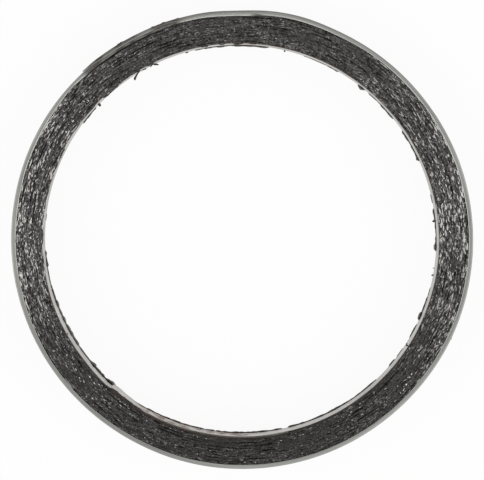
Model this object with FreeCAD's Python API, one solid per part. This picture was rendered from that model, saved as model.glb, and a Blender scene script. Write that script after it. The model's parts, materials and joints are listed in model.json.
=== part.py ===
import FreeCAD, Part
import math
import os

# Exhaust gasket ring: a spiral of graphite tape pressed into a flat ring, with a steel strip folded
# round its outside and a plain steel strip lining its bore. Both strips overlap their own ends.
# The ring lies flat with its lower face on Z = 0 and its axis on Z. Angles run anticlockwise from +X,
# seen from above, and every layer winds outwards in that direction.

# Driving sizes in millimetres
BORE_DIAMETER = 76.4
RING_WIDTH = 6.5
RING_HEIGHT = 8.0
OUTER_FOIL = 0.18
INNER_FOIL = 0.16
LAYER_GAP = 0.02
LIP_LENGTH = 0.87
FOLD_CHAMFER = 0.16
INNER_STRIP_SETBACK = 0.1
TAPE_THICKNESS = 0.54
TURN_GROOVE_DEPTH = 0.16

# Driving angles in degrees
OUTER_COVERED_END = 82.0
OUTER_FREE_END = 134.0
INNER_FREE_END = 228.5
INNER_COVERED_END = 283.5
JOGGLE_SPAN = 10.0
END_CLEARANCE = 1.0

# The arc of one flat facet of a joggle in degrees, and how far a cutting body runs past what it cuts
JOGGLE_FACET = 2.0
CUT_MARGIN = 1.0

# Radii and steps that follow from the driving sizes
bore_radius = BORE_DIAMETER / 2
outer_radius = bore_radius + RING_WIDTH
outer_step = OUTER_FOIL + LAYER_GAP
inner_step = INNER_FOIL + LAYER_GAP
core_outer_radius = outer_radius - outer_step
core_bore_radius = bore_radius + inner_step
shoulder_radius = outer_radius - LIP_LENGTH - LAYER_GAP

AXIS = FreeCAD.Vector(0, 0, 1)


def point(radius, height, angle=0.0):
    """The point at a radius, an angle about the ring's axis and a height."""
    turn = math.radians(angle)
    return FreeCAD.Vector(radius * math.cos(turn), radius * math.sin(turn), height)


def outline(section, angle=0.0):
    """A closed wire through a section's (radius, height) points, standing at an angle."""
    corners = [point(radius, height, angle) for radius, height in section]
    return Part.makePolygon(corners + corners[:1])


def turned(section, start, end, centre=0.0):
    """A section swept round an upright axis that crosses X at centre, from one angle to another."""
    pivot = FreeCAD.Vector(centre, 0, 0)
    face = Part.Face(outline(section))
    face.translate(pivot)
    body = face.revolve(pivot, AXIS, end - start)
    body.rotate(pivot, AXIS, start)
    return body


def joggled(section_before, section_after, start, end):
    """A short run of strip that passes evenly from one section to the other."""
    wires = []
    steps = math.ceil((end - start) / JOGGLE_FACET)
    for step in range(steps + 1):
        share = step / steps
        section = [
            (r0 + (r1 - r0) * share, z0 + (z1 - z0) * share)
            for (r0, z0), (r1, z1) in zip(section_before, section_after)
        ]
        wires.append(outline(section, start + (end - start) * share))
    return Part.makeLoft(wires, True, True)


def joined(bodies):
    """One solid from bodies that meet face to face."""
    return bodies[0].fuse(bodies[1:]).removeSplitter()


def folded_section(radius, lower, upper):
    """The outer strip's section: an upright wall with a lip folded in over each face of the ring."""
    lip_edge = radius - LIP_LENGTH
    inside = radius - OUTER_FOIL
    return [
        (lip_edge, upper),
        (lip_edge, upper - OUTER_FOIL),
        (inside, upper - OUTER_FOIL),
        (inside, lower + OUTER_FOIL),
        (lip_edge, lower + OUTER_FOIL),
        (lip_edge, lower),
        (radius - FOLD_CHAMFER, lower),
        (radius, lower + FOLD_CHAMFER),
        (radius, upper - FOLD_CHAMFER),
        (radius - FOLD_CHAMFER, upper),
    ]


def outer_band():
    """The outer strip. Its covered end is pressed down by one layer, and its free end rides outside."""
    covered = folded_section(outer_radius, outer_step, RING_HEIGHT - outer_step)
    plain = folded_section(outer_radius, 0, RING_HEIGHT)
    riding = folded_section(outer_radius + outer_step, 0, RING_HEIGHT)

    covered_run_end = OUTER_FREE_END + END_CLEARANCE
    plain_run_start = covered_run_end + JOGGLE_SPAN
    riding_run_start = OUTER_COVERED_END - END_CLEARANCE + 360
    plain_run_end = riding_run_start - JOGGLE_SPAN
    riding_run_end = OUTER_FREE_END + 360
    return joined([
        turned(covered, OUTER_COVERED_END, covered_run_end),
        joggled(covered, plain, covered_run_end, plain_run_start),
        turned(plain, plain_run_start, plain_run_end),
        joggled(plain, riding, plain_run_end, riding_run_start),
        turned(riding, riding_run_start, riding_run_end),
    ])


def flat_section(radius):
    """The bore strip's section, with its bore side at the given radius."""
    lower = INNER_STRIP_SETBACK
    upper = RING_HEIGHT - INNER_STRIP_SETBACK
    return [
        (radius, lower),
        (radius + INNER_FOIL, lower),
        (radius + INNER_FOIL, upper),
        (radius, upper),
    ]


def inner_band():
    """The strip that lines the bore. It starts innermost at its free end and ends behind itself."""
    lining = flat_section(bore_radius)
    covered = flat_section(bore_radius + inner_step)

    covered_run_start = INNER_FREE_END - END_CLEARANCE + 360
    lining_run_end = covered_run_start - JOGGLE_SPAN
    covered_run_end = INNER_COVERED_END + 360
    return joined([
        turned(lining, INNER_FREE_END, lining_run_end),
        joggled(lining, covered, lining_run_end, covered_run_start),
        turned(covered, covered_run_start, covered_run_end),
    ])


def turns_section(first_crest, last_crest):
    """A section whose top is one ridge for each turn of tape."""
    crests = math.ceil((last_crest - first_crest) / TAPE_THICKNESS)
    top = []
    for crest in range(crests):
        radius = first_crest + crest * TAPE_THICKNESS
        top.append((radius, RING_HEIGHT))
        top.append((radius + TAPE_THICKNESS / 2, RING_HEIGHT - TURN_GROOVE_DEPTH))
    return [(first_crest, -CUT_MARGIN)] + top + [(top[-1][0], -CUT_MARGIN)]


def wound_disc():
    """A disc whose upper face shows the spiral of tape.

    The spiral is drawn in half turns about two centres half a tape thickness apart, so that each
    ridge of one half runs into the next ridge outwards on the other.
    """
    offset = TAPE_THICKNESS / 4
    first_crest = core_bore_radius - 2 * TAPE_THICKNESS
    last_crest = core_outer_radius + 2 * TAPE_THICKNESS
    upper_half = turned(turns_section(first_crest, last_crest), 0, 180, -offset)
    shifted = turns_section(first_crest - 2 * offset, last_crest - 2 * offset)
    lower_half = turned(shifted, 180, 360, offset)
    return upper_half.fuse(lower_half)


def core_blank():
    """The pressed ring before its turns show, with a seat at each face for the outer strip's lips."""
    seat = outer_step
    return turned([
        (core_bore_radius, 0),
        (shoulder_radius, 0),
        (shoulder_radius, seat),
        (core_outer_radius, seat),
        (core_outer_radius, RING_HEIGHT - seat),
        (shoulder_radius, RING_HEIGHT - seat),
        (shoulder_radius, RING_HEIGHT + CUT_MARGIN),
        (core_bore_radius, RING_HEIGHT + CUT_MARGIN),
    ], 0, 360)


def covered_lip_seats():
    """What the covered end of the outer strip presses down at both faces of the core."""
    start = OUTER_COVERED_END - END_CLEARANCE
    end = OUTER_FREE_END + 2 * END_CLEARANCE + JOGGLE_SPAN
    beyond = outer_radius + CUT_MARGIN
    depth = 2 * outer_step
    lower = [
        (shoulder_radius, -CUT_MARGIN),
        (beyond, -CUT_MARGIN),
        (beyond, depth),
        (shoulder_radius, depth),
    ]
    upper = [(radius, RING_HEIGHT - height) for radius, height in lower]
    return [turned(lower, start, end), turned(upper, start, end)]


def covered_bore_seat():
    """What the covered end of the bore strip presses into the core's bore."""
    start = INNER_FREE_END - 2 * END_CLEARANCE - JOGGLE_SPAN
    end = INNER_COVERED_END + END_CLEARANCE
    inside = bore_radius - CUT_MARGIN
    depth = core_bore_radius + inner_step
    section = [
        (inside, -CUT_MARGIN),
        (depth, -CUT_MARGIN),
        (depth, RING_HEIGHT + CUT_MARGIN),
        (inside, RING_HEIGHT + CUT_MARGIN),
    ]
    return turned(section, start, end)


def graphite_core():
    """The wound and pressed graphite tape, seated for both strips."""
    wound = core_blank().common(wound_disc())
    return wound.cut(covered_lip_seats() + [covered_bore_seat()])


def write(name, shape):
    """One STEP file for one piece."""
    solid = shape.Solids[0]
    solid.exportStep(os.path.join("parts", name + ".step"))
    print(name, "solids", len(shape.Solids), "valid", shape.isValid(), "volume", round(shape.Volume, 2))


os.makedirs("parts", exist_ok=True)
write("outer_band", outer_band())
write("graphite_core", graphite_core())
write("inner_band", inner_band())
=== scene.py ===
import json

import bpy
import numpy as np
from mathutils import Matrix, Vector


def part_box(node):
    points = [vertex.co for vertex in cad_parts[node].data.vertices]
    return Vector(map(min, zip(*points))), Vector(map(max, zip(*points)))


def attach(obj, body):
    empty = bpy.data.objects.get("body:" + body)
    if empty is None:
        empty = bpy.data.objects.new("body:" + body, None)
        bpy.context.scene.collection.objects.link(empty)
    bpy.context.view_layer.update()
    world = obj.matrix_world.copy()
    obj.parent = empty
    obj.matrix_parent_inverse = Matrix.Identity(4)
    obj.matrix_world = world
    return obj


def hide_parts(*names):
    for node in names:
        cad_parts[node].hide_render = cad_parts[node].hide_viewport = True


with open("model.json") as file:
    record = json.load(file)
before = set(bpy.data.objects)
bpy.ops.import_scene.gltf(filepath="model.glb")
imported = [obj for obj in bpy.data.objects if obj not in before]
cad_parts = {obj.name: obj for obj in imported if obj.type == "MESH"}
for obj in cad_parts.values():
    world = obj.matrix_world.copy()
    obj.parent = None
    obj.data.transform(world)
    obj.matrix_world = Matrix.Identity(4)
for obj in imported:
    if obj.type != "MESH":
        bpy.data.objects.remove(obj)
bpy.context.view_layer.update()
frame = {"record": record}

# The looks of an exhaust gasket ring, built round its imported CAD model. Lengths in this script are in
# millimetres until a mesh is made, apart from the floor's and the lamps', which are in metres. Angles
# are in degrees, anticlockwise from the photograph's right.
MM = 0.001
UP = np.array([0.0, 0.0, 1.0])

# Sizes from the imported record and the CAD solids
mounts = {mount["name"]: mount for mount in frame["record"]["mounts"]}
BORE_RADIUS = mounts["pipe_bore"]["dims"]["r_mm"]
RIM_RADIUS = mounts["outer_rim"]["dims"]["r_mm"]
HEIGHT = mounts["upper_face"]["pos_m"][2] / MM
CORE_RIM_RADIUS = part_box("graphite_core")[1].x / MM
LINING_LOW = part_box("inner_band")[0].z / MM
LINING_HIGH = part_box("inner_band")[1].z / MM
OUTER_STEP = RIM_RADIUS - CORE_RIM_RADIUS

# Thicknesses, gaps, the outer strip's bend and the tape's turn at angle 0 where its spiral starts
OUTER_FOIL = 0.18
INNER_FOIL = 0.16
LAYER_GAP = 0.02
TAPE_THICKNESS = 0.54
FIRST_TURN = 0.75
OUTER_BEND = 0.25
INNER_STEP = INNER_FOIL + LAYER_GAP
CORE_BORE_RADIUS = BORE_RADIUS + INNER_STEP

# Where the strips' ends lie, how far their joggles run, and how much of the free end has worn away
OUTER_COVERED_END = 82.0
OUTER_FREE_END = 134.0
INNER_FREE_END = 228.5
INNER_COVERED_END = 283.5
JOGGLE_SPAN = 10.0
END_CLEARANCE = 1.0
WORN_BACK = 0.6

# How the real ring departs from round: an oval, a hole off its centre and a dent in the rim
OVAL_AXIS = -17.5
OVAL_AT_RIM = 0.165
OVAL_AT_BORE = 0.205
BORE_WIDER = 0.07
BORE_SHIFT = 0.300
BORE_SHIFT_ANGLE = 199.5
DENT_ANGLE = 91.0
DENT_SPREAD = 7.0
DENT_DEPTH = 0.34

# Where the rim stands out of or inside its oval: angle, spread and how far out
RIM_CHANGES = [
    (16.0, 12.0, 0.07),
    (105.0, 9.0, -0.15),
    (120.0, 14.0, -0.11),
    (172.0, 12.0, -0.05),
    (258.0, 14.0, 0.05),
    (335.0, 18.0, 0.10),
]

# The outer strip's lips: how far they reach in, how much less they do where the strip's ends overlap,
# and their gap to the core
LIP_LENGTH = 0.86
LIP_LONGER_AT_TOP = 0.04
COVERED_LIP_CUT = 0.15
RIDING_LIP_CUT = 0.34
LIP_CLEARANCE = 0.03

# Stretches at the outer strip's free end, where its angles run on past 360: it steps out, its lips get
# shorter, it gets worn, and its stain starts and thins out
JOGGLE_OUT = (425.0, 437.0)
RIDING_CUT = (443.0, 447.0)
WORN_START = (463.0, 467.0)
STAIN_START = (443.0, 445.0)
STAIN_THINS = (490.8, 492.4)

# Stretches at the outer strip's covered end: where its stain stops, and where it is stained again
COVERED_STAIN_STOPS = (86.0, 88.5)
COVERED_STAIN_AGAIN = (107.0, 132.6)

# In the next lists each row is a stretch: from, to, the degrees that it fades out over, and how much

# Where the outer strip's lips are longer or shorter
LIP_CHANGES = [
    (-8.0, 6.0, 7.0, -0.06),
    (32.0, 58.0, 7.0, -0.05),
    (74.0, 104.0, 7.0, 0.05),
    (100.0, 104.0, 7.0, 0.08),
    (138.0, 148.0, 7.0, -0.04),
    (168.0, 204.0, 7.0, 0.10),
    (232.0, 248.0, 7.0, 0.05),
    (292.0, 318.0, 7.0, -0.02),
]

# Where the riding end's lips are longer or shorter still
RIDING_LIP_CHANGES = [
    (108.0, 111.5, 2.0, -0.12),
    (131.5, 134.0, 1.5, -0.12),
    (114.0, 126.0, 3.0, 0.16),
]

# Where less is cut from the covered end's lips
COVERED_CUT_CHANGES = [
    (87.0, 94.0, 6.0, -0.15),
    (113.0, 132.0, 7.0, -0.24),
]

# Where the outer strip is darker
DARKER_STEEL_STRETCHES = [
    (205.0, 245.0, 22.0, 1.0),
    (345.0, 368.0, 14.0, 0.55),
]

# Where the free end's stain is paler
PALER_STAIN = [
    (114.2, 116.2, 2.0, 0.55),
    (124.4, 126.4, 1.5, 0.38),
]

# Where heat has tinted the bore strip
HEAT_TINT = [
    (242.0, 268.0, 8.0, 1.0),
    (78.0, 92.0, 6.0, 0.5),
]

# Where the core is rusty at the bore
RUST = [
    (230.0, 300.0, 10.0, 0.7),
    (60.0, 92.0, 8.0, 0.3),
]

# Where the seam between the outer strip's lip and the core stands open or is closed
SEAM_CHANGES = [
    (356.0, 361.5, 2.0, 1.2),
    (364.5, 368.0, 1.2, 1.1),
    (60.0, 82.0, 8.0, 0.4),
    (90.0, 104.0, 4.0, -0.7),
    (114.0, 134.0, 4.0, 1.4),
    (150.0, 190.0, 8.0, -0.6),
]

# Smooth dark places on the wound face: angle, radius, half their length in degrees and half their width
SMOOTH_PATCHES = [
    (353.3, 41.3, 1.9, 0.85),
    (94.0, 43.3, 3.0, 0.30),
    (144.0, 39.6, 2.6, 0.7),
    (222.0, 41.6, 2.2, 0.9),
    (281.0, 40.2, 2.6, 0.8),
]

# The random relief of the upper and the lower face, and the lower one's depth beside the upper one's
FACE_SEED = 11
BACK_SEED = 211
BACK_DEPTH = 0.6

# How finely the meshes are divided
CORE_ANGLES = 1080
FACE_POINTS = 61
BACK_POINTS = 18
STRIP_STEP = 0.5

# The two lamps, in metres and watts
LAMP_SIZE = 0.45
LAMP_WATTS = 0.45
LAMP_ASIDE = 0.38
LAMP_ALONG = -0.02
LAMP_ABOVE = 0.27

# Graphite squeezed past the bore strip's lower edge: from, to, and how far into the bore
LOWER_FLASH = [
    (183.4, 188.4, 0.28),
    (188.0, 194.0, 0.14),
    (193.5, 199.0, 0.32),
    (198.0, 207.0, 0.52),
    (206.0, 221.5, 0.54),
    (221.0, 227.0, 0.36),
    (226.0, 229.6, 0.50),
    (236.0, 241.0, 0.10),
    (240.6, 262.0, 0.22),
    (262.0, 282.0, 0.24),
    (283.6, 302.5, 0.24),
    (302.0, 313.8, 0.18),
    (319.0, 321.8, 0.17),
    (322.5, 326.0, 0.08),
    (329.4, 334.0, 0.16),
    (335.2, 338.0, 0.38),
    (337.8, 342.6, 0.24),
    (342.0, 345.6, 0.10),
    (356.4, 358.6, 0.44),
    (358.0, 361.4, 0.28),
    (1.0, 5.0, 0.20),
    (4.7, 9.0, 0.28),
    (10.5, 13.3, 0.20),
    (23.7, 26.4, 0.34),
    (25.8, 30.4, 0.30),
    (30.0, 34.0, 0.26),
    (38.3, 44.2, 0.22),
    (42.0, 44.2, 0.34),
    (44.0, 49.2, 0.14),
    (50.4, 53.0, 0.48),
    (60.0, 64.0, 0.20),
    (64.0, 71.4, 0.10),
    (82.0, 101.4, 0.26),
    (101.4, 104.2, 0.14),
    (138.0, 144.0, 0.26),
    (172.6, 174.8, 0.16),
]

# Graphite squeezed over the bore strip's upper edge, in the same way
UPPER_FLASH = [
    (85.6, 88.0, 0.16),
    (89.4, 92.6, 0.30),
    (94.9, 96.7, 0.26),
    (99.8, 102.0, 0.30),
    (116.6, 118.8, 0.28),
    (121.0, 126.4, 0.17),
    (126.0, 129.0, 0.20),
    (128.4, 134.4, 0.42),
    (137.0, 147.0, 0.15),
    (152.4, 156.2, 0.32),
    (155.0, 174.0, 0.24),
    (176.0, 181.5, 0.30),
    (184.0, 190.0, 0.16),
    (228.9, 232.8, 0.30),
    (232.8, 236.6, 0.34),
    (236.4, 239.6, 0.14),
]

# Loose bits at the bore: angle, radius, height, length, width and turn from the radial line
BORE_BITS = [
    (5.3, 37.90, 0.4, 0.66, 0.38, 8.0),
    (24.7, 37.97, 0.3, 0.80, 0.30, 75.0),
    (52.0, 37.93, 0.3, 0.90, 0.34, 72.0),
    (77.2, 38.04, 0.3, 0.36, 0.34, 60.0),
    (106.5, 38.15, 0.4, 0.60, 0.28, 80.0),
    (116.3, 37.93, 5.0, 1.34, 0.34, 60.0),
    (117.3, 38.05, 5.6, 1.10, 0.26, 110.0),
    (120.0, 38.10, 3.0, 1.10, 0.24, 86.0),
    (136.7, 37.95, 2.0, 0.60, 0.54, 20.0),
    (133.2, 38.12, 6.0, 0.60, 0.28, 80.0),
    (327.5, 38.24, 7.7, 0.40, 0.34, 60.0),
    (327.3, 38.17, 5.2, 0.40, 0.36, 50.0),
    (327.6, 38.17, 2.8, 0.40, 0.34, 60.0),
    (349.2, 38.06, 0.4, 0.42, 0.28, 70.0),
    (351.3, 38.04, 0.5, 0.36, 0.15, 15.0),
    (357.7, 37.93, 0.3, 0.50, 0.40, 45.0),
    (208.5, 38.22, 7.6, 0.50, 0.30, 60.0),
]

# Crumbs stuck on the rim: angle, length and width
RIM_BITS = [
    (106.3, 0.7, 0.20),
    (110.0, 0.9, 0.34),
    (112.8, 0.6, 0.18),
    (121.8, 1.5, 0.22),
    (129.0, 0.8, 0.16),
    (334.7, 0.3, 0.14),
]


def smooth(value):
    """A smooth climb from 0 to 1, held at both ends."""
    value = np.clip(value, 0.0, 1.0)
    return value * value * (3.0 - 2.0 * value)


def cosd(angle):
    """The cosine of an angle in degrees."""
    return np.cos(np.radians(angle))


def sind(angle):
    """The sine of an angle in degrees."""
    return np.sin(np.radians(angle))


def apart(angle, other):
    """The turn from one angle to another, between -180 and 180."""
    return np.mod(angle - other + 180.0, 360.0) - 180.0


def within(angle, start, end, soft):
    """1 between two angles, falling to 0 over the next soft degrees."""
    beyond = np.abs(apart(angle, (start + end) / 2)) - (end - start) / 2
    return smooth(1.0 - beyond / soft)


def climb(value, start, end):
    """0 before start, 1 after end and a smooth climb between them."""
    return smooth((value - start) / (end - start))


def changed(value, angle, changes):
    """A value with a list's changes added on its stretches."""
    for start, end, soft, more in changes:
        value = value + more * within(angle, start, end, soft)
    return value


def table(seed, *shape):
    """Random numbers from -1 to 1 that are the same on every run."""
    return np.random.default_rng(seed).uniform(-1.0, 1.0, shape)


def ripple(angle, count, seed):
    """Smooth random values round the ring, count of them to a turn."""
    values = table(seed, count)
    at = np.mod(angle, 360.0) / 360.0 * count
    low = np.floor(at).astype(int)
    share = smooth(at - low)
    return values[low % count] * (1 - share) + values[(low + 1) % count] * share


def field(angle, across, count, spacing, seed):
    """Smooth random values over a face: count of them to a turn and one every spacing across it."""
    widest = 12.0
    rows = int(widest / spacing) + 2
    values = table(seed, count, rows)
    at = np.mod(angle, 360.0) / 360.0 * count
    over = across / spacing
    low = np.floor(at).astype(int)
    near = np.floor(over).astype(int)
    share = smooth(at - low)
    depth = smooth(over - near)
    this, following = low % count, (low + 1) % count
    row, beyond = near % rows, (near + 1) % rows
    first = values[this, row] * (1 - share) + values[following, row] * share
    second = values[this, beyond] * (1 - share) + values[following, beyond] * share
    return first * (1 - depth) + second * depth


def along(turn, angle, count, seed):
    """Smooth random values that run on along the wound tape, count of them to a turn."""
    turns = 24
    values = table(seed, count * turns)
    at = (turn + np.mod(angle, 360.0) / 360.0) * count
    low = np.floor(at).astype(int)
    share = smooth(at - low)
    return values[low % len(values)] * (1 - share) + values[(low + 1) % len(values)] * share


def placed(radius, angle, height):
    """Points for distances from the axis, angles and heights, moved onto the ring's real outline."""
    share = (radius - BORE_RADIUS) / (RIM_RADIUS - BORE_RADIUS)
    oval = OVAL_AT_BORE + (OVAL_AT_RIM - OVAL_AT_BORE) * share
    moved = radius + oval * cosd(2.0 * (angle - OVAL_AXIS))
    moved = moved + (1.0 - share) * (BORE_WIDER + BORE_SHIFT * cosd(angle - BORE_SHIFT_ANGLE))
    out = -DENT_DEPTH * np.exp(-((apart(angle, DENT_ANGLE) / DENT_SPREAD) ** 2))
    for middle, spread, reach in RIM_CHANGES:
        out = out + reach * np.exp(-((apart(angle, middle) / spread) ** 2))
    moved = moved + smooth(share) * out
    return np.stack(np.broadcast_arrays(moved * cosd(angle), moved * sind(angle), height), axis=-1)


def lip_length(angle):
    """How far the outer strip's lips reach in over the faces."""
    return changed(LIP_LENGTH + LIP_LONGER_AT_TOP * sind(angle), angle, LIP_CHANGES)


def covered_lip_cut(angle):
    """How much shorter the covered end's lips are."""
    return changed(COVERED_LIP_CUT, angle, COVERED_CUT_CHANGES)


def over_face(radius):
    """The distance across a face, counted from a line inside the bore so that it is never negative."""
    return radius - BORE_RADIUS + 2.0


def turn_of(radius, angle):
    """The turn of tape at a place: a whole number where two turns meet."""
    return (radius - CORE_BORE_RADIUS) / TAPE_THICKNESS + FIRST_TURN - np.mod(angle, 360.0) / 360.0


def pressed_smooth(angle, radius, seed):
    """1 where the wound face is pressed smooth and 0 where its turns stand rough."""
    across = over_face(radius)
    shown = 0.7 * smooth(field(angle, across, 30, 1.7, seed) * 2.4 - 1.3)
    for middle, at, length, width in SMOOTH_PATCHES:
        away = (apart(angle, middle) / length) ** 2 + ((radius - at) / width) ** 2
        shown = np.maximum(shown, smooth(1.6 - away))
    return shown


def face_relief(angle, radius, seed):
    """How far the wound face lies below its full height, in millimetres."""
    across = over_face(radius)
    turn = turn_of(radius, angle) + 0.20 * field(angle, across, 34, 1.1, seed)

    # The grooves between the turns, wider and deeper where they stand open
    seam = np.round(turn)
    away = np.abs(turn - seam) * TAPE_THICKNESS
    opening = smooth(along(seam, angle, 78, seed + 1) * 1.5 - 0.2)
    opening = np.maximum(opening, smooth(along(seam, angle, 26, seed + 8) * 2.0 - 1.0))
    groove = (0.03 + 0.20 * opening) * np.exp(-((away / (0.05 + 0.07 * opening)) ** 2))

    # Each turn's own height and lean, and the crumbs and pits on it
    tape = np.floor(turn)
    level = 0.04 * along(tape, angle, 60, seed + 2)
    lean = (0.07 + 0.10 * along(tape, angle, 44, seed + 3)) * (tape + 0.5 - turn)
    crumbs = 0.055 * field(angle, across, 540, 0.24, seed + 5)
    crumbs = crumbs + 0.075 * field(angle, across, 240, 0.34, seed + 6)
    pits = 0.5 * np.clip(field(angle, across, 360, 0.27, seed + 7) - 0.5, 0.0, 1.0)
    rough = groove + level + lean + crumbs + pits
    return np.maximum(0.06 + rough * (1.0 - 0.75 * pressed_smooth(angle, radius, seed + 4)), 0.0)


def flash(angle, stretches, seed):
    """How far the squeezed graphite reaches into the bore past the strip's face."""
    ragged = 0.85 + 0.30 * ripple(angle, 150, seed) + 0.25 * ripple(angle, 420, seed + 1)
    total = np.zeros_like(angle)
    for start, end, reach in stretches:
        total = np.maximum(total, reach * within(angle, start + 0.6, end - 0.6, 0.9))
    return total * np.clip(ragged, 0.3, 1.5)


def material(name):
    """An empty node material: its tree and its Principled shader."""
    made = bpy.data.materials.new(name)
    made.use_nodes = True
    return made, made.node_tree, made.node_tree.nodes["Principled BSDF"]


def node(tree, kind, inputs=None, **settings):
    """A node with its settings, and its inputs set to values or joined to other nodes' outputs."""
    made = tree.nodes.new("ShaderNode" + kind)
    for key, value in settings.items():
        setattr(made, key, value)
    for key, value in (inputs or {}).items():
        if isinstance(value, bpy.types.NodeSocket):
            tree.links.new(value, made.inputs[key])
        else:
            made.inputs[key].default_value = value
    return made


def calculated(tree, operation, first, second=0.0):
    """The output of a Math node."""
    return node(tree, "Math", {0: first, 1: second}, operation=operation).outputs[0]


def ranged(tree, value, low, high, from_value=0.0, to_value=1.0):
    """A value between low and high, spread smoothly from one number to another and held beyond."""
    inputs = {"Value": value, "From Min": low, "From Max": high, "To Min": from_value, "To Max": to_value}
    return node(tree, "MapRange", inputs, interpolation_type="SMOOTHSTEP").outputs[0]


def mixed(tree, factor, first, second):
    """A colour between two colours."""
    made = node(tree, "Mix", {"Factor": factor}, data_type="RGBA")
    for socket, colour in ((made.inputs[6], first), (made.inputs[7], second)):
        if isinstance(colour, bpy.types.NodeSocket):
            tree.links.new(colour, socket)
        else:
            socket.default_value = (*colour, 1.0)
    return made.outputs[2]


def blended(tree, factor, first, second):
    """A number between two numbers."""
    return node(tree, "Mix", {"Factor": factor, "A": first, "B": second}, data_type="FLOAT").outputs[0]


def noise(tree, vector, scale, detail=3.0, roughness=0.6):
    """A noise texture on a vector that is first scaled by three numbers."""
    scaled = node(tree, "VectorMath", {0: vector, 1: scale}, operation="MULTIPLY").outputs[0]
    inputs = {"Vector": scaled, "Scale": 1.0, "Detail": detail, "Roughness": roughness}
    return node(tree, "TexNoise", inputs).outputs["Fac"]


def attribute(tree, name, output="Vector"):
    """An attribute that a mesh carries."""
    return node(tree, "Attribute", attribute_name=name).outputs[output]


def bumped(tree, shader, height, distance, strength):
    """Gives the shader a bump of a depth in millimetres."""
    inputs = {"Height": height, "Distance": distance * MM, "Strength": strength}
    tree.links.new(node(tree, "Bump", inputs).outputs[0], shader.inputs["Normal"])


def graphite_material():
    """Pressed graphite: dark streaks along the tape, pale flakes, a painted sheen at the sides, painted
    shade in its hollows, rust, and a darkening over the half at negative y.
    """
    made, tree, shader = material("pressed_graphite")
    polar = attribute(tree, "polar")
    mean = (BORE_RADIUS + RIM_RADIUS) / 2

    def grain(length, width, detail=3.0, roughness=0.6):
        return noise(tree, polar, (mean / length, mean / length, 1.0 / width), detail, roughness)

    sheen_and_burnish = attribute(tree, "sheen_and_burnish", "Fac")
    sheen_and_polish = ranged(tree, sheen_and_burnish, 0.04, 0.45)
    streaks = blended(tree, sheen_and_polish, grain(1.3, 0.25), grain(2.3, 0.25))
    flakes = blended(tree, sheen_and_polish, grain(0.50, 0.235, 3.0, 0.55), grain(1.00, 0.235, 3.0, 0.55))
    grit = blended(tree, sheen_and_polish, grain(0.27, 0.25, 2.0, 0.5), grain(0.42, 0.25, 2.0, 0.5))
    patches = grain(6.0, 1.5, 2.0)
    depth = attribute(tree, "depth", "Fac")
    pressed = attribute(tree, "pressed", "Fac")

    # Dark and light streaks with grit in them, evened out where the face is pressed smooth
    streak = ranged(tree, streaks, 0.36, 0.62)
    # Painted sheen: the streaks are paler where the sheen and burnish value is high, at the ring's sides
    dark = mixed(tree, sheen_and_burnish, (0.038, 0.036, 0.034), (0.054, 0.050, 0.047))
    light = mixed(tree, sheen_and_burnish, (0.128, 0.121, 0.114), (0.215, 0.205, 0.196))
    low = mixed(tree, streak, (0.0068, 0.0064, 0.0060), dark)
    high = mixed(tree, streak, (0.040, 0.0375, 0.0353), light)
    base = mixed(tree, ranged(tree, grit, 0.40, 0.62), low, high)
    base = mixed(tree, calculated(tree, "MULTIPLY", pressed, 0.55), base, (0.036, 0.032, 0.030))

    # Pale flakes, more and paler ones where the sheen and burnish value is high, partly a painted glint
    # at the ring's sides, and fewer where it is smooth or lies deep
    shift = calculated(tree, "MULTIPLY", sheen_and_burnish, 0.045)
    shift = calculated(tree, "ADD", shift, ranged(tree, patches, 0.30, 0.70, -0.05, 0.05))
    shift = calculated(tree, "ADD", shift, calculated(tree, "MULTIPLY", pressed, -0.12))
    shift = calculated(tree, "ADD", shift, calculated(tree, "MULTIPLY", depth, -0.25))
    flake = ranged(tree, calculated(tree, "ADD", flakes, shift), 0.575, 0.63)
    bright = mixed(tree, sheen_and_burnish, (0.215, 0.206, 0.196), (0.76, 0.74, 0.71))
    base = mixed(tree, flake, base, bright)

    # Painted shade in the grooves and hollows, rust at the bore, the grey of the squeezed graphite
    # painted paler against the shade under it, and a darkening over the half at negative y
    painted_groove_shade = (0.006, 0.0058, 0.0055)
    rust_brown = (0.045, 0.029, 0.025)
    squeezed_grey_painted_paler = (0.21, 0.198, 0.175)
    # Painted shade: the deeper the face lies, the darker it is, in the grooves, the pits and the open
    # seam by the lips
    base = mixed(tree, ranged(tree, depth, 0.13, 0.26, 0.0, 0.85), base, painted_groove_shade)
    edge = ranged(tree, attribute(tree, "from_bore", "Fac"), 0.05, 0.6, 1.0, 0.0)
    edge = calculated(tree, "MULTIPLY", edge, attribute(tree, "rust", "Fac"))
    base = mixed(tree, edge, base, rust_brown)
    # The squeezed graphite's own grey, painted paler to make up for the shade under the strip's edge
    squeezed = calculated(tree, "MULTIPLY", attribute(tree, "squeezed", "Fac"), 0.85)
    base = mixed(tree, squeezed, base, squeezed_grey_painted_paler)
    # Darker over the half of the ring at negative y
    darker_at_negative_y = calculated(tree, "MULTIPLY", attribute(tree, "darker_at_negative_y", "Fac"), 0.34)
    base = mixed(tree, darker_at_negative_y, base, (0.0, 0.0, 0.0))
    tree.links.new(base, shader.inputs["Base Color"])
    shine = calculated(tree, "MULTIPLY", flake, sheen_and_burnish)
    tree.links.new(ranged(tree, shine, 0.0, 1.0, 0.0, 0.6), shader.inputs["Metallic"])
    tree.links.new(ranged(tree, streaks, 0.3, 0.7, 0.56, 0.42), shader.inputs["Roughness"])
    shader.inputs["Specular IOR Level"].default_value = 0.22

    rise = calculated(tree, "ADD", calculated(tree, "MULTIPLY", flakes, 1.2), streaks)
    rise = calculated(tree, "ADD", rise, calculated(tree, "MULTIPLY", grit, 0.8))
    bumped(tree, shader, rise, 0.10, 0.9)
    return made


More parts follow.
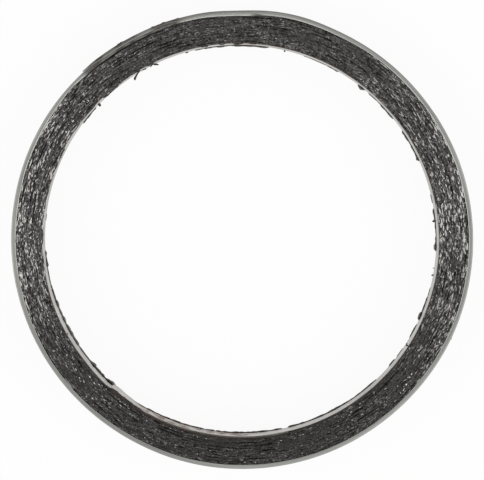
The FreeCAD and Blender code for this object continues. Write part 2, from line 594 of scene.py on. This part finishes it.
def crumb_material():
    """Loose graphite at the bore and the rim."""
    made, tree, shader = material("graphite_crumbs")
    place = node(tree, "TexCoord").outputs["Object"]
    grit = noise(tree, place, (6000.0, 6000.0, 6000.0), 3.0)
    base = mixed(tree, ranged(tree, grit, 0.35, 0.7), (0.012, 0.011, 0.010), (0.075, 0.068, 0.060))
    tree.links.new(base, shader.inputs["Base Color"])
    shader.inputs["Roughness"].default_value = 0.6
    bumped(tree, shader, grit, 0.05, 0.6)
    return made


def chip_material():
    """Bright broken wire from the mesh inside the tape."""
    made, tree, shader = material("wire_chips")
    place = node(tree, "TexCoord").outputs["Object"]
    grit = noise(tree, place, (900.0, 900.0, 900.0), 2.0)
    sheen_and_burnish = attribute(tree, "sheen_and_burnish", "Fac")
    # Painted glint: chips are paler towards the ring's left and right, standing in for the side lamps'
    # reflection
    darker_steel = mixed(tree, sheen_and_burnish, (0.27, 0.26, 0.25), (0.58, 0.57, 0.55))
    bright = mixed(tree, sheen_and_burnish, (0.62, 0.60, 0.58), (0.93, 0.92, 0.89))
    tree.links.new(mixed(tree, ranged(tree, grit, 0.4, 0.6), darker_steel, bright), shader.inputs["Base Color"])
    shader.inputs["Metallic"].default_value = 0.9
    shader.inputs["Roughness"].default_value = 0.34
    return made


def outer_steel_material():
    """Dull rolled foil: fine lines along it, a darker fold, a painted highlight on the lips' cut edges
    and a stained free end.
    """
    made, tree, shader = material("rolled_outer_steel")
    strip = attribute(tree, "strip")
    lines = noise(tree, strip, (0.06, 4.5, 1.0), 4.0)
    blotches = noise(tree, strip, (0.35, 1.2, 1.0), 4.0)
    base = mixed(tree, ranged(tree, lines, 0.35, 0.65), (0.418, 0.424, 0.394), (0.545, 0.550, 0.514))
    base = mixed(tree, ranged(tree, blotches, 0.35, 0.75, 0.0, 0.35), base, (0.30, 0.304, 0.28))
    # Darker on the listed stretches of the strip
    darker_steel = calculated(tree, "MULTIPLY", attribute(tree, "darker_steel", "Fac"), 0.24)
    base = mixed(tree, darker_steel, base, (0.17, 0.172, 0.157))
    fold = calculated(tree, "MULTIPLY", attribute(tree, "fold", "Fac"), 0.65)
    base = mixed(tree, fold, base, (0.185, 0.190, 0.174))
    # Painted highlight: the lips' cut edges and the covered end's lips are made paler, as if catching the
    # light
    painted_lip_highlight = calculated(tree, "MULTIPLY", attribute(tree, "painted_lip_highlight", "Fac"), 0.7)
    base = mixed(tree, painted_lip_highlight, base, (0.73, 0.733, 0.69))
    smudges = ranged(tree, noise(tree, strip, (0.30, 1.1, 1.0), 4.0), 0.40, 0.60, 0.76, 1.0)
    smear_and_shade = calculated(tree, "MULTIPLY", attribute(tree, "stain", "Fac"), smudges)
    base = mixed(tree, smear_and_shade, base, (0.050, 0.042, 0.033))
    tree.links.new(base, shader.inputs["Base Color"])
    tree.links.new(ranged(tree, smear_and_shade, 0.0, 1.0, 1.0, 0.35), shader.inputs["Metallic"])
    tree.links.new(ranged(tree, blotches, 0.3, 0.7, 0.34, 0.46), shader.inputs["Roughness"])
    bumped(tree, shader, lines, 0.012, 0.5)
    return made


def bore_steel_material():
    """Bright thin foil with rolling lines, dirt bands, painted shade towards its lower edge and a reddish
    heat tint.
    """
    made, tree, shader = material("bright_bore_steel")
    strip = attribute(tree, "strip")
    lines = noise(tree, strip, (0.06, 3.5, 1.0), 3.0)
    blotches = noise(tree, strip, (0.30, 0.5, 1.0), 3.0)
    base = mixed(tree, ranged(tree, lines, 0.32, 0.68), (0.335, 0.322, 0.295), (0.50, 0.482, 0.448))
    base = mixed(tree, ranged(tree, blotches, 0.45, 0.8, 0.0, 0.5), base, (0.26, 0.245, 0.225))
    bands = ranged(tree, noise(tree, strip, (0.07, 0.42, 1.0), 2.0), 0.44, 0.66, 0.0, 0.55)
    # Painted shade: darker towards the lower edge, standing in for the shaded floor that the wall
    # mirrors; the bands are dirt
    smear_and_shade = ranged(tree, attribute(tree, "height", "Fac"), 0.0, 4.5, 0.70, 0.0)
    dirt_and_shade = calculated(tree, "MAXIMUM", smear_and_shade, bands)
    base = mixed(tree, dirt_and_shade, base, (0.170, 0.156, 0.136))
    burns = ranged(tree, noise(tree, strip, (0.45, 0.40, 1.0), 3.0), 0.42, 0.58, 0.12, 1.0)
    tint = calculated(tree, "MULTIPLY", attribute(tree, "tint", "Fac"), burns)
    base = mixed(tree, tint, base, (0.200, 0.125, 0.100))
    tree.links.new(base, shader.inputs["Base Color"])
    dulled = calculated(tree, "MAXIMUM", tint, calculated(tree, "MULTIPLY", dirt_and_shade, 0.6))
    tree.links.new(ranged(tree, dulled, 0.0, 1.0, 1.0, 0.25), shader.inputs["Metallic"])
    clean_roughness = ranged(tree, blotches, 0.3, 0.7, 0.28, 0.40)
    dirty_roughness = ranged(tree, dulled, 0.1, 1.0, 0.28, 0.65)
    roughness = calculated(tree, "MAXIMUM", clean_roughness, dirty_roughness)
    tree.links.new(roughness, shader.inputs["Roughness"])
    bumped(tree, shader, lines, 0.01, 0.4)
    return made


def lattice(rows, columns, rows_meet, columns_meet):
    """Four-sided faces over a grid of points whose rows or columns may close on themselves."""
    row = np.arange(rows if rows_meet else rows - 1)
    column = np.arange(columns if columns_meet else columns - 1)
    r, c = np.meshgrid(row, column, indexing="ij")
    next_r, next_c = (r + 1) % rows, (c + 1) % columns
    corners = (r * columns + c, r * columns + next_c, next_r * columns + next_c, next_r * columns + c)
    return np.stack(corners, axis=-1).reshape(-1, 4)


def piece(name, points, faces, finish, values=None, replaces=None):
    """A smooth mesh that rides on the ring, from points in millimetres, with values at its points."""
    mesh = bpy.data.meshes.new(name)
    mesh.from_pydata((points.reshape(-1, 3) * MM).tolist(), [], faces.tolist())
    mesh.polygons.foreach_set("use_smooth", np.ones(len(mesh.polygons), bool))
    for key, value in (values or {}).items():
        vector = value.shape == points.shape
        made = mesh.attributes.new(key, "FLOAT_VECTOR" if vector else "FLOAT", "POINT")
        made.data.foreach_set("vector" if vector else "value", value.astype(np.float32).ravel())
    mesh.materials.append(finish)
    mesh.update()
    made = bpy.data.objects.new(name, mesh)
    bpy.context.scene.collection.objects.link(made)
    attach(made, "root")
    if replaces:
        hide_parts(replaces)
    return made


def core_bore(angle):
    """The core's bore radius, which the bore strip's covered end presses outwards."""
    return CORE_BORE_RADIUS + INNER_STEP * within(angle, INNER_FREE_END - 2.5, INNER_COVERED_END, 6.0)


def shoulder(angle):
    """Where the core's face meets the outer strip's lip."""
    turned = np.mod(angle, 360.0)
    laid = climb(turned, OUTER_COVERED_END - 0.6, OUTER_COVERED_END + 0.4)
    riding = climb(turned, JOGGLE_OUT[0] - 360.0, JOGGLE_OUT[1] - 360.0) * (1.0 - laid)
    covered = laid * within(turned, OUTER_COVERED_END + 0.4, OUTER_FREE_END + END_CLEARANCE, JOGGLE_SPAN)
    reach = lip_length(angle) - covered_lip_cut(angle) * covered
    return RIM_RADIUS + OUTER_STEP * riding - reach - LIP_CLEARANCE


def squeezed_tips(angle, bore):
    """Where both faces end at the bore, and how far the lower edge's graphite is squeezed past it."""
    upper_reach = flash(angle, UPPER_FLASH, 61)
    lower_reach = flash(angle, LOWER_FLASH, 71)
    plain = bore + (0.03 + 0.02 * ripple(angle, 260, 81))
    upper_tip = np.where(upper_reach > 0.02, BORE_RADIUS - upper_reach + INNER_FOIL / 2, plain)
    lower_tip = np.where(lower_reach > 0.02, BORE_RADIUS - lower_reach, plain)
    return np.minimum(upper_tip, plain), lower_tip, lower_reach


def upper_face(angle, tip, side):
    """The upper face's radii, and how far below its full height it lies at each."""
    radius = tip + (side - tip) * np.linspace(0.0, 1.0, FACE_POINTS)[None, :]
    over_strip = climb(radius, BORE_RADIUS + 0.15, BORE_RADIUS + 0.45)
    relief = 0.03 + (face_relief(angle, radius, FACE_SEED) - 0.03) * over_strip
    open_gap = smooth(changed(0.15 + 0.30 * ripple(angle, 60, 91), angle, SEAM_CHANGES))
    relief = relief + 0.22 * open_gap * np.exp(-(((side - radius) / (0.06 + 0.07 * open_gap)) ** 2))
    return radius, relief


def lower_face(angle, tip, side):
    """The lower face's radii and heights."""
    radius = tip + 0.02 + (side - tip - 0.02) * np.linspace(1.0, 0.0, BACK_POINTS)[None, :]
    height = BACK_DEPTH * face_relief(angle, radius, BACK_SEED)
    return radius, height * climb(radius, BORE_RADIUS + 0.1, BORE_RADIUS + 0.5)


def sheen_and_burnish_at(angle, radius, side):
    """How pale and glossy the core is: a painted sheen, most at the ring's left and right where the side
    lamps would glint on it, and burnish beside the lips.
    """
    # Painted sheen: the ring's sides are made paler and glossier, standing in for the side lamps' glint
    sides = np.abs(cosd(angle)) ** 3 * (1.0 - 0.14 * cosd(angle) + 0.34 * sind(angle))
    sides = sides * (1.0 - 0.35 * within(angle, 206.0, 226.0, 10.0))
    near_lip = np.exp(-(np.maximum(side - radius, 0.0) / 0.45))
    return (sides * (1.0 + 0.7 * near_lip) + 0.12 * near_lip) / 1.2


def graphite_ring():
    """The pressed core as one closed skin: a wound face, seats under the lips and squeezed edges."""
    angle = (np.arange(CORE_ANGLES) * 360.0 / CORE_ANGLES)[:, None]
    bore = core_bore(angle)
    side = shoulder(angle)
    upper_tip, lower_tip, lower_reach = squeezed_tips(angle, bore)
    face_radius, relief = upper_face(angle, upper_tip, side)

    flat = np.ones_like(angle)
    rim = CORE_RIM_RADIUS * flat
    seat = OUTER_STEP * (1.0 + within(angle, OUTER_COVERED_END, OUTER_FREE_END + JOGGLE_SPAN, 3.0))
    outer_wall = [
        (side, HEIGHT - 0.3 * seat - 0.08),
        (side, HEIGHT - seat),
        (rim, HEIGHT - seat),
        (rim, HEIGHT / 2 * flat),
        (rim, seat),
        (side, seat),
        (side, 0.4 * seat),
    ]
    curled = climb(lower_reach, 0.02, 0.10)
    curl_radius = lower_tip + (BORE_RADIUS - 0.05 - 0.3 * lower_reach - lower_tip) * curled
    bore_wall = [
        (lower_tip, 0.045 * flat),
        (curl_radius, 0.055 + 3.2 * lower_reach * curled),
        (curl_radius + 0.02, 0.09 * flat),
        (bore, 0.095 * flat),
        (bore, HEIGHT / 2 * flat),
        (bore, LINING_HIGH + 0.005 * flat),
    ]
    upper = (face_radius, HEIGHT - relief)
    lower = lower_face(angle, lower_tip, side)
    profile = [upper, *outer_wall, lower, *bore_wall]
    radius = np.hstack([r for r, z in profile])
    height = np.hstack([z for r, z in profile])

    depth = np.zeros_like(radius)
    depth[:, :FACE_POINTS] = relief
    squeezed = np.zeros_like(radius)
    squeezed[:, -len(bore_wall):] = curled
    values = {
        "polar": np.stack(np.broadcast_arrays(cosd(angle), sind(angle), radius), axis=-1),
        "depth": depth,
        "pressed": pressed_smooth(angle, radius, FACE_SEED + 4),
        "from_bore": radius - bore,
        # Painted sheen at the ring's sides, with burnish beside the lips
        "sheen_and_burnish": sheen_and_burnish_at(angle, radius, side),
        "squeezed": squeezed,
        # Darker over the half of the ring at negative y
        "darker_at_negative_y": np.broadcast_to(np.clip(-sind(angle), 0.0, 1.0) ** 0.7, radius.shape),
        "rust": np.broadcast_to(changed(0.12, angle, RUST), radius.shape),
    }
    points = placed(radius, angle, height)
    faces = lattice(*radius.shape, True, True)
    return piece("graphite_ring", points, faces, graphite_material(), values, "graphite_core")


def strip_points(turned, radius, height, out_r, out_z, foil):
    """Both sides of a strip, thinned at its edges, from its middle line, ways out and thickness."""
    lines = radius.shape[1]
    half = np.full(lines, foil / 2)
    half[[0, -1]] *= 0.35
    half[[1, -2]] *= 0.85
    outside = placed(radius + out_r * half, turned, height + out_z * half)
    inside = placed(radius - out_r * half, turned, height - out_z * half)
    return np.concatenate([outside, inside[:, ::-1]], axis=1)


def strip_faces(rows, lines):
    """The faces of a strip, closed at both its ends."""
    body = lattice(rows, 2 * lines, False, True)
    near = np.arange(lines - 1)
    far = 2 * lines - 1 - near
    start = np.stack([near, far, far - 1, near + 1], axis=-1)
    end = np.stack([near, near + 1, far - 1, far], axis=-1) + (rows - 1) * 2 * lines
    return np.concatenate([body, start, end])


def both_sides(values, shape):
    """Values at a strip's middle lines, spread over its two sides."""
    spread = np.broadcast_to(values, shape)
    return np.concatenate([spread, spread[:, ::-1]], axis=1)


def strip_places(turned, radius, across, layer, shape):
    """Where a strip's points lie for its textures: how far along and across it, and in which layer."""
    places = (turned / 360.0 * 2.0 * np.pi * radius, across, layer)
    return np.stack([both_sides(place, shape) for place in places], axis=-1)


def outer_profile(turned, edge, lip, covered, resting):
    """The outer strip's middle line, from its upper lip's edge to its lower one's, and its ways out."""
    upper = HEIGHT - OUTER_STEP * covered
    lower = OUTER_STEP * covered
    middle_bend = OUTER_BEND - OUTER_FOIL / 2
    lip_shares = np.array([0.0, 0.06, 0.14, 0.25, 0.38, 0.54, 0.76, 1.0])
    bend_angles = np.linspace(90.0, 0.0, 7)[1:]
    wall_shares = np.linspace(0.0, 1.0, 7)[1:]
    droop = (0.050 + 0.040 * sind(turned)) * (1.0 - 0.85 * resting)
    droop = droop * np.clip(1.0 - lip_shares / 0.55, 0.0, 1.0) ** 2

    lip_radius = edge - lip + (lip - OUTER_BEND) * lip_shares
    bend_radius = edge - OUTER_BEND + middle_bend * cosd(bend_angles)
    wall_radius = np.repeat(edge - OUTER_FOIL / 2, len(wall_shares), axis=1)
    top_height = upper - OUTER_FOIL / 2 - droop
    top_bend = upper - OUTER_BEND + middle_bend * sind(bend_angles)
    wall_height = upper - OUTER_BEND + (lower - upper + 2 * OUTER_BEND) * wall_shares
    low_bend = (lower + OUTER_BEND) - middle_bend * sind(bend_angles[-2::-1])
    low_height = lower + OUTER_FOIL / 2 + droop[:, ::-1]
    low_radii = [bend_radius[:, -2::-1], lip_radius[:, ::-1]]
    radius = np.hstack([lip_radius, bend_radius, wall_radius, *low_radii])
    height = np.hstack([top_height, top_bend, wall_height, low_bend, low_height])

    flat = np.full(len(lip_shares), 90.0)
    wall = np.zeros(len(wall_shares))
    out_angle = np.concatenate([flat, bend_angles, wall, -bend_angles[-2::-1], -flat])
    return radius, height, out_angle


def outer_marks_and_highlight(turned, height, out_angle, covered, worn):
    """The outer strip's dark fold, painted highlight on its lips' cut edges and on the covered end's
    lips, darker stretches and stain, at its middle line.
    """
    lines = len(out_angle)
    from_end = np.minimum(np.arange(lines), lines - 1 - np.arange(lines))
    # Painted highlight on the lips' cut edges, and on the covered end's flat lips
    cut_edge_highlight = np.select([from_end <= 1, from_end == 2], [1.0, 0.6], 0.0)
    rubbed = np.select([from_end <= 3, from_end == 4], [1.0, 0.6], 0.0)
    flat_lip_highlight = np.select([from_end <= 4, from_end == 5], [0.9, 0.5], 0.0)

    # The free end's stain, which fades down the wall, and the covered end's on each side of it
    stain = 0.16 * climb(turned, *STAIN_START) + 0.84 * worn * (1.0 - changed(0.0, turned, PALER_STAIN))
    thinned = (0.65 - 0.50 * rubbed) * climb(turned, *STAIN_THINS)
    stain = stain * (1.0 - thinned) * (0.30 + 0.70 * climb(height, HEIGHT - 4.0, HEIGHT - 0.6))
    under_end = 0.9 * (1.0 - climb(turned, *COVERED_STAIN_STOPS))
    under_end = under_end + 0.95 * within(turned, *COVERED_STAIN_AGAIN, 2.0)
    return {
        "fold": np.exp(-(((np.abs(out_angle) - 38.0) / 34.0) ** 2)) * (np.abs(out_angle) < 89.0),
        "painted_lip_highlight": np.maximum(cut_edge_highlight, flat_lip_highlight * covered),
        "darker_steel": changed(0.0, turned, DARKER_STEEL_STRETCHES),
        "stain": np.maximum(stain * (1.0 - 0.45 * rubbed), under_end * covered),
    }


def outer_steel_band():
    """The outer strip, from its covered end once round and on over itself to its free end."""
    first, last = OUTER_COVERED_END, OUTER_FREE_END + 360.0 - WORN_BACK
    rows = int((last - first) / STRIP_STEP) + 1
    turned = np.linspace(first, last, rows)[:, None]
    covered_run_end = OUTER_FREE_END + END_CLEARANCE
    covered = 1.0 - climb(turned, covered_run_end, covered_run_end + JOGGLE_SPAN)
    riding = climb(turned, *JOGGLE_OUT)
    resting = climb(turned, *RIDING_CUT)
    worn = climb(turned, *WORN_START)

    edge = RIM_RADIUS + OUTER_STEP * riding + 0.012 * ripple(turned, 40, 101)
    edge = edge + worn * 0.05 * (1.0 + ripple(turned, 130, 102))
    lip = lip_length(turned) - covered_lip_cut(turned) * covered - RIDING_LIP_CUT * resting
    lip = lip + riding * changed(0.0, turned, RIDING_LIP_CHANGES)
    lip = lip + 0.012 * ripple(turned, 110, 103) + worn * 0.03 * ripple(turned, 200, 104)
    radius, height, out_angle = outer_profile(turned, edge, lip, covered, resting)
    points = strip_points(turned, radius, height, cosd(out_angle), sind(out_angle), OUTER_FOIL)

    across = np.cumsum(np.concatenate([[0.0], np.hypot(np.diff(radius[0]), np.diff(height[0]))]))
    marks_and_highlight = outer_marks_and_highlight(turned, height, out_angle, covered, worn)
    values = {key: both_sides(value, radius.shape) for key, value in marks_and_highlight.items()}
    values["strip"] = strip_places(turned, RIM_RADIUS, across, 0.0, radius.shape)
    faces = strip_faces(*radius.shape)
    finish = outer_steel_material()
    return piece("outer_steel_band", points, faces, finish, values, "outer_band")


def bore_steel_band():
    """The strip in the bore, from its free end once round and on behind itself."""
    first, last = INNER_FREE_END, INNER_COVERED_END + 360.0
    rows = int((last - first) / STRIP_STEP) + 1
    turned = np.linspace(first, last, rows)[:, None]
    joggle_end = first - END_CLEARANCE + 360.0
    behind = climb(turned, joggle_end - JOGGLE_SPAN, joggle_end)

    shares = np.array([0.0, 0.012, 0.03, 0.12, 0.25, 0.4, 0.55, 0.7, 0.85, 0.97, 0.988, 1.0])
    waves = 0.012 * ripple(turned, 46, 111) + 0.006 * ripple(turned, 130, 112)
    face = BORE_RADIUS + INNER_STEP * behind + INNER_FOIL / 2
    lean = 0.16 * np.exp(-(((turned - 231.0) / 2.4) ** 2)) * shares ** 1.5
    lean = lean + 0.20 * within(turned, 229.5, 235.0, 3.0)
    lean = lean + 0.11 * within(turned, 204.0, 226.0, 9.0) * shares
    upper = LINING_HIGH - 0.03 + 0.03 * ripple(turned, 90, 113)
    radius = face + waves * np.sin(np.pi * shares) - lean
    height = upper + (LINING_LOW - upper) * shares
    lines = len(shares)
    points = strip_points(turned, radius, height, np.ones(lines), np.zeros(lines), INNER_FOIL)

    tint = changed(0.0, turned, HEAT_TINT) * (1.0 - 0.75 * climb(height, 6.6, 7.7))
    values = {
        "strip": strip_places(turned, BORE_RADIUS, height, behind, radius.shape),
        "tint": both_sides(tint, radius.shape),
        "height": both_sides(height, radius.shape),
    }
    faces = strip_faces(*radius.shape)
    finish = bore_steel_material()
    return piece("bore_steel_band", points, faces, finish, values, "inner_band")


def slivers(centres, ways, rises, lengths, widths, thicknesses, shape, seed):
    """Many small bodies, each a run of four-cornered rings along its way, as points and faces."""
    count = len(centres)
    stations = np.linspace(-0.5, 0.5, len(shape))
    across = np.cross(rises, ways)
    bends = 0.5 * table(seed, count, len(shape))
    swells = 1.0 + 0.25 * table(seed + 1, count, len(shape), 4)
    corners = np.array([(-0.5, -0.5), (0.5, -0.5), (0.5, 0.5), (-0.5, 0.5)])
    points = np.zeros((count, len(shape), 4, 3))
    for i, (station, size) in enumerate(zip(stations, shape)):
        bend = (bends[:, i] * widths * 0.25)[:, None]
        middle = centres + ways * (station * lengths)[:, None] + across * bend
        for j, (side, rise) in enumerate(corners):
            width = (side * size * widths * swells[:, i, j])[:, None]
            thick = (rise * size * thicknesses * swells[:, i, j])[:, None]
            points[:, i, j] = middle + across * width + rises * thick
    body = lattice(len(shape), 4, False, True)
    last = 4 * (len(shape) - 1)
    caps = np.array([[3, 2, 1, 0], [last, last + 1, last + 2, last + 3]])
    one = np.concatenate([body, caps])
    starts = (np.arange(count) * 4 * len(shape))[:, None, None]
    return points.reshape(-1, 3), (one[None] + starts).reshape(-1, 4)


def directions(angle):
    """The unit vectors outwards and along the ring at each angle."""
    zero = np.zeros_like(angle)
    outward = np.stack([cosd(angle), sind(angle), zero], axis=-1)
    onward = np.stack([-sind(angle), cosd(angle), zero], axis=-1)
    return outward, onward


def wire_chips():
    """Broken ends of the wire mesh, lying along both faces of the core."""
    random = np.random.default_rng(301)
    count = 1700
    angle = random.uniform(0.0, 360.0, count)
    share = random.uniform(0.03, 0.97, count)
    inner, outer = core_bore(angle) + 0.15, shoulder(angle) - 0.15
    radius = inner + (outer - inner) * share
    clumps = field(angle, over_face(radius), 60, 0.9, 302)
    kept = clumps + 0.7 * np.abs(cosd(angle)) ** 2 + random.uniform(-0.9, 0.5, count) > 0.15
    angle, radius = angle[kept], radius[kept]
    count = len(angle)

    outward, onward = directions(angle)
    spread = 14.0 + 26.0 * within(angle, 120.0, 155.0, 10.0)
    swing = np.radians(random.normal(0.0, 1.0, count) * spread)[:, None]
    pitch = np.radians(random.normal(0.0, 7.0, count))[:, None]
    roll = np.radians(random.uniform(-50.0, 50.0, count))[:, None]
    way = onward * np.cos(swing) + outward * np.sin(swing)
    side = np.cross(UP, way)
    way = way * np.cos(pitch) + UP * np.sin(pitch)
    rise = np.cross(way, side)
    rise = rise * np.cos(roll) + side * np.sin(roll)

    length = (random.gamma(3.0, 0.12, count) + 0.20) * (0.62 + 0.38 * cosd(angle) ** 2)
    width = random.uniform(0.10, 0.22, count)
    thickness = random.uniform(0.03, 0.06, count)
    below = face_relief(angle, radius, FACE_SEED)
    centre = placed(radius, angle, HEIGHT - below * 0.9 - 0.01)
    underneath = random.uniform(0.0, 1.0, count) < 0.30
    centre[underneath, 2] = (BACK_DEPTH * face_relief(angle, radius, BACK_SEED) + 0.01)[underneath]
    shape = (0.5, 1.0, 0.9, 0.35)
    points, faces = slivers(centre, way, rise, length, width, thickness, shape, 303)
    points[:, 2] = np.clip(points[:, 2], 0.01, HEIGHT + 0.03)
    # Painted glint: the chips' sheen value is only how near they lie to the ring's left and right
    values = {"sheen_and_burnish": np.repeat(np.abs(cosd(angle)) ** 3, 4 * len(shape))}
    return piece("wire_chips", points, faces, chip_material(), values)


def clinging_crumbs():
    """Crumbs and splinters of graphite that hang on at the bore and on the rim."""
    rows = [(a, r, z, length, width, width * 0.7, turn) for a, r, z, length, width, turn in BORE_BITS]
    for a, length, width in RIM_BITS:
        rim = RIM_RADIUS + OUTER_STEP * (a < OUTER_FREE_END) + 0.03
        rows.append((a, rim, HEIGHT - 0.5, length, width, 0.5, 90.0))
    angle, radius, height, length, width, thickness, turn = np.array(rows).T
    outward, onward = directions(angle)
    turned = np.radians(turn)[:, None]
    way = outward * np.cos(turned) + onward * np.sin(turned)
    up = np.broadcast_to(UP, way.shape)
    centre = placed(radius, angle, height)
    shape = (0.35, 0.8, 1.0, 0.95, 0.6, 0.3)
    points, faces = slivers(centre, way, up, length, width, thickness, shape, 401)
    return piece("clinging_crumbs", points, faces, crumb_material())


def bore_fibre():
    """The torn fibre that hangs into the bore, with a crumb at its end."""
    path = [(120.8, 38.35, 7.2), (121.5, 38.10, 7.0), (122.3, 37.85, 6.8),
            (123.1, 37.55, 6.5), (123.6, 37.35, 6.4), (124.0, 37.25, 6.4)]
    sizes = np.array([0.38, 0.33, 0.35, 0.44, 0.60, 0.32])
    angle, radius, height = np.array(path).T
    middle = placed(radius, angle, height)
    sides = 6
    outward, _ = directions(angle)
    turn = np.arange(sides) * 360.0 / sides
    ring = outward[:, None] * cosd(turn)[None, :, None] + UP * sind(turn)[None, :, None]
    points = middle[:, None] + ring * (sizes / 2)[:, None, None]
    body = lattice(len(path), sides, False, True)
    last = sides * (len(path) - 1)
    cap = np.array([[0, 1, 2, 3], [0, 3, 4, 5]])
    faces = np.concatenate([body[:, ::-1], cap, last + cap[:, ::-1]])
    return piece("bore_fibre", points, faces, crumb_material())


def backdrop_shader(tree, diffuse):
    """White where the camera, a mirror or glass sees it, with the surface's own shade kept in part."""
    rays = node(tree, "LightPath").outputs
    seen = calculated(tree, "MAXIMUM", rays["Is Camera Ray"], rays["Is Glossy Ray"])
    seen = calculated(tree, "MAXIMUM", seen, rays["Is Transmission Ray"])
    white = node(tree, "Emission", {"Color": (1.0, 1.0, 1.0, 1.0), "Strength": 1.0}).outputs[0]
    factor = calculated(tree, "MULTIPLY", seen, 0.92)
    return node(tree, "MixShader", {0: factor, 1: diffuse, 2: white}).outputs[0]


def floor():
    """A plain pale floor just under the ring, 6 metres across."""
    half = 3.0
    mesh = bpy.data.meshes.new("floor")
    corners = [(-half, -half, 0.0), (half, -half, 0.0), (half, half, 0.0), (-half, half, 0.0)]
    mesh.from_pydata(corners, [], [(0, 1, 2, 3)])
    finish = bpy.data.materials.new("pale_floor")
    finish.use_nodes = True
    tree = finish.node_tree
    tree.nodes.remove(tree.nodes["Principled BSDF"])
    diffuse = node(tree, "BsdfDiffuse", {"Color": (0.97, 0.97, 0.97, 1.0)}).outputs[0]
    tree.links.new(backdrop_shader(tree, diffuse), tree.nodes["Material Output"].inputs["Surface"])
    mesh.materials.append(finish)
    made = bpy.data.objects.new("floor", mesh)
    made.location.z = -0.02 * MM
    bpy.context.scene.collection.objects.link(made)


def studio_world():
    """Soft light from all round, brighter from both sides and the front, over a white horizon."""
    made = bpy.data.worlds.new("studio")
    made.use_nodes = True
    tree = made.node_tree
    direction = node(tree, "TexCoord").outputs["Generated"]
    x, y, z = node(tree, "SeparateXYZ", {0: direction}).outputs
    side = ranged(tree, calculated(tree, "ABSOLUTE", x), 0.25, 0.9, 0.37, 0.87)
    front = ranged(tree, y, -0.8, 0.3, 0.60, 0.0)
    overhead = calculated(tree, "ADD", side, front)
    height = ranged(tree, calculated(tree, "ABSOLUTE", z), 0.12, 0.30)
    level = blended(tree, height, 1.0, overhead)
    soft = tree.nodes["Background"]
    tree.links.new(level, soft.inputs["Strength"])
    soft.inputs["Color"].default_value = (1.0, 1.0, 1.0, 1.0)
    bpy.context.scene.world = made


def softbox(name, place):
    """A square lamp that faces the ring."""
    lamp = bpy.data.lights.new(name, "AREA")
    lamp.shape = "SQUARE"
    lamp.size = LAMP_SIZE
    lamp.energy = LAMP_WATTS
    made = bpy.data.objects.new(name, lamp)
    made.location = place
    made.rotation_mode = "QUATERNION"
    made.rotation_quaternion = (-Vector(place)).to_track_quat("-Z", "Y")
    made.visible_camera = False
    bpy.context.scene.collection.objects.link(made)


def camera():
    """Above the ring and a little to its right and top, as the photograph was taken."""
    distance = 590.0
    pixel = 0.19392
    sensor = 36.0
    image_width = 484
    place = Vector((2.5, 15.0, HEIGHT + distance))
    aim = Vector((0.14 * pixel, -0.24 * pixel, HEIGHT))
    back = (place - aim).normalized()
    right = Vector((0.0, 1.0, 0.0)).cross(back).normalized()
    up = back.cross(right)
    data = bpy.data.cameras.new("camera")
    data.sensor_width = sensor
    data.lens = sensor * distance / (image_width * pixel)
    data.clip_start = 0.01
    data.clip_end = 50.0
    made = bpy.data.objects.new("camera", data)
    turn = Matrix((right, up, back)).transposed()
    made.matrix_world = Matrix.Translation(place * MM) @ turn.to_4x4()
    bpy.context.scene.collection.objects.link(made)
    bpy.context.scene.camera = made


graphite_ring()
outer_steel_band()
bore_steel_band()
wire_chips()
clinging_crumbs()
bore_fibre()

floor()
studio_world()
softbox("left_softbox", (-LAMP_ASIDE, LAMP_ALONG, LAMP_ABOVE))
softbox("right_softbox", (LAMP_ASIDE, LAMP_ALONG, LAMP_ABOVE))
camera()
bpy.context.scene.view_settings.view_transform = "Standard"
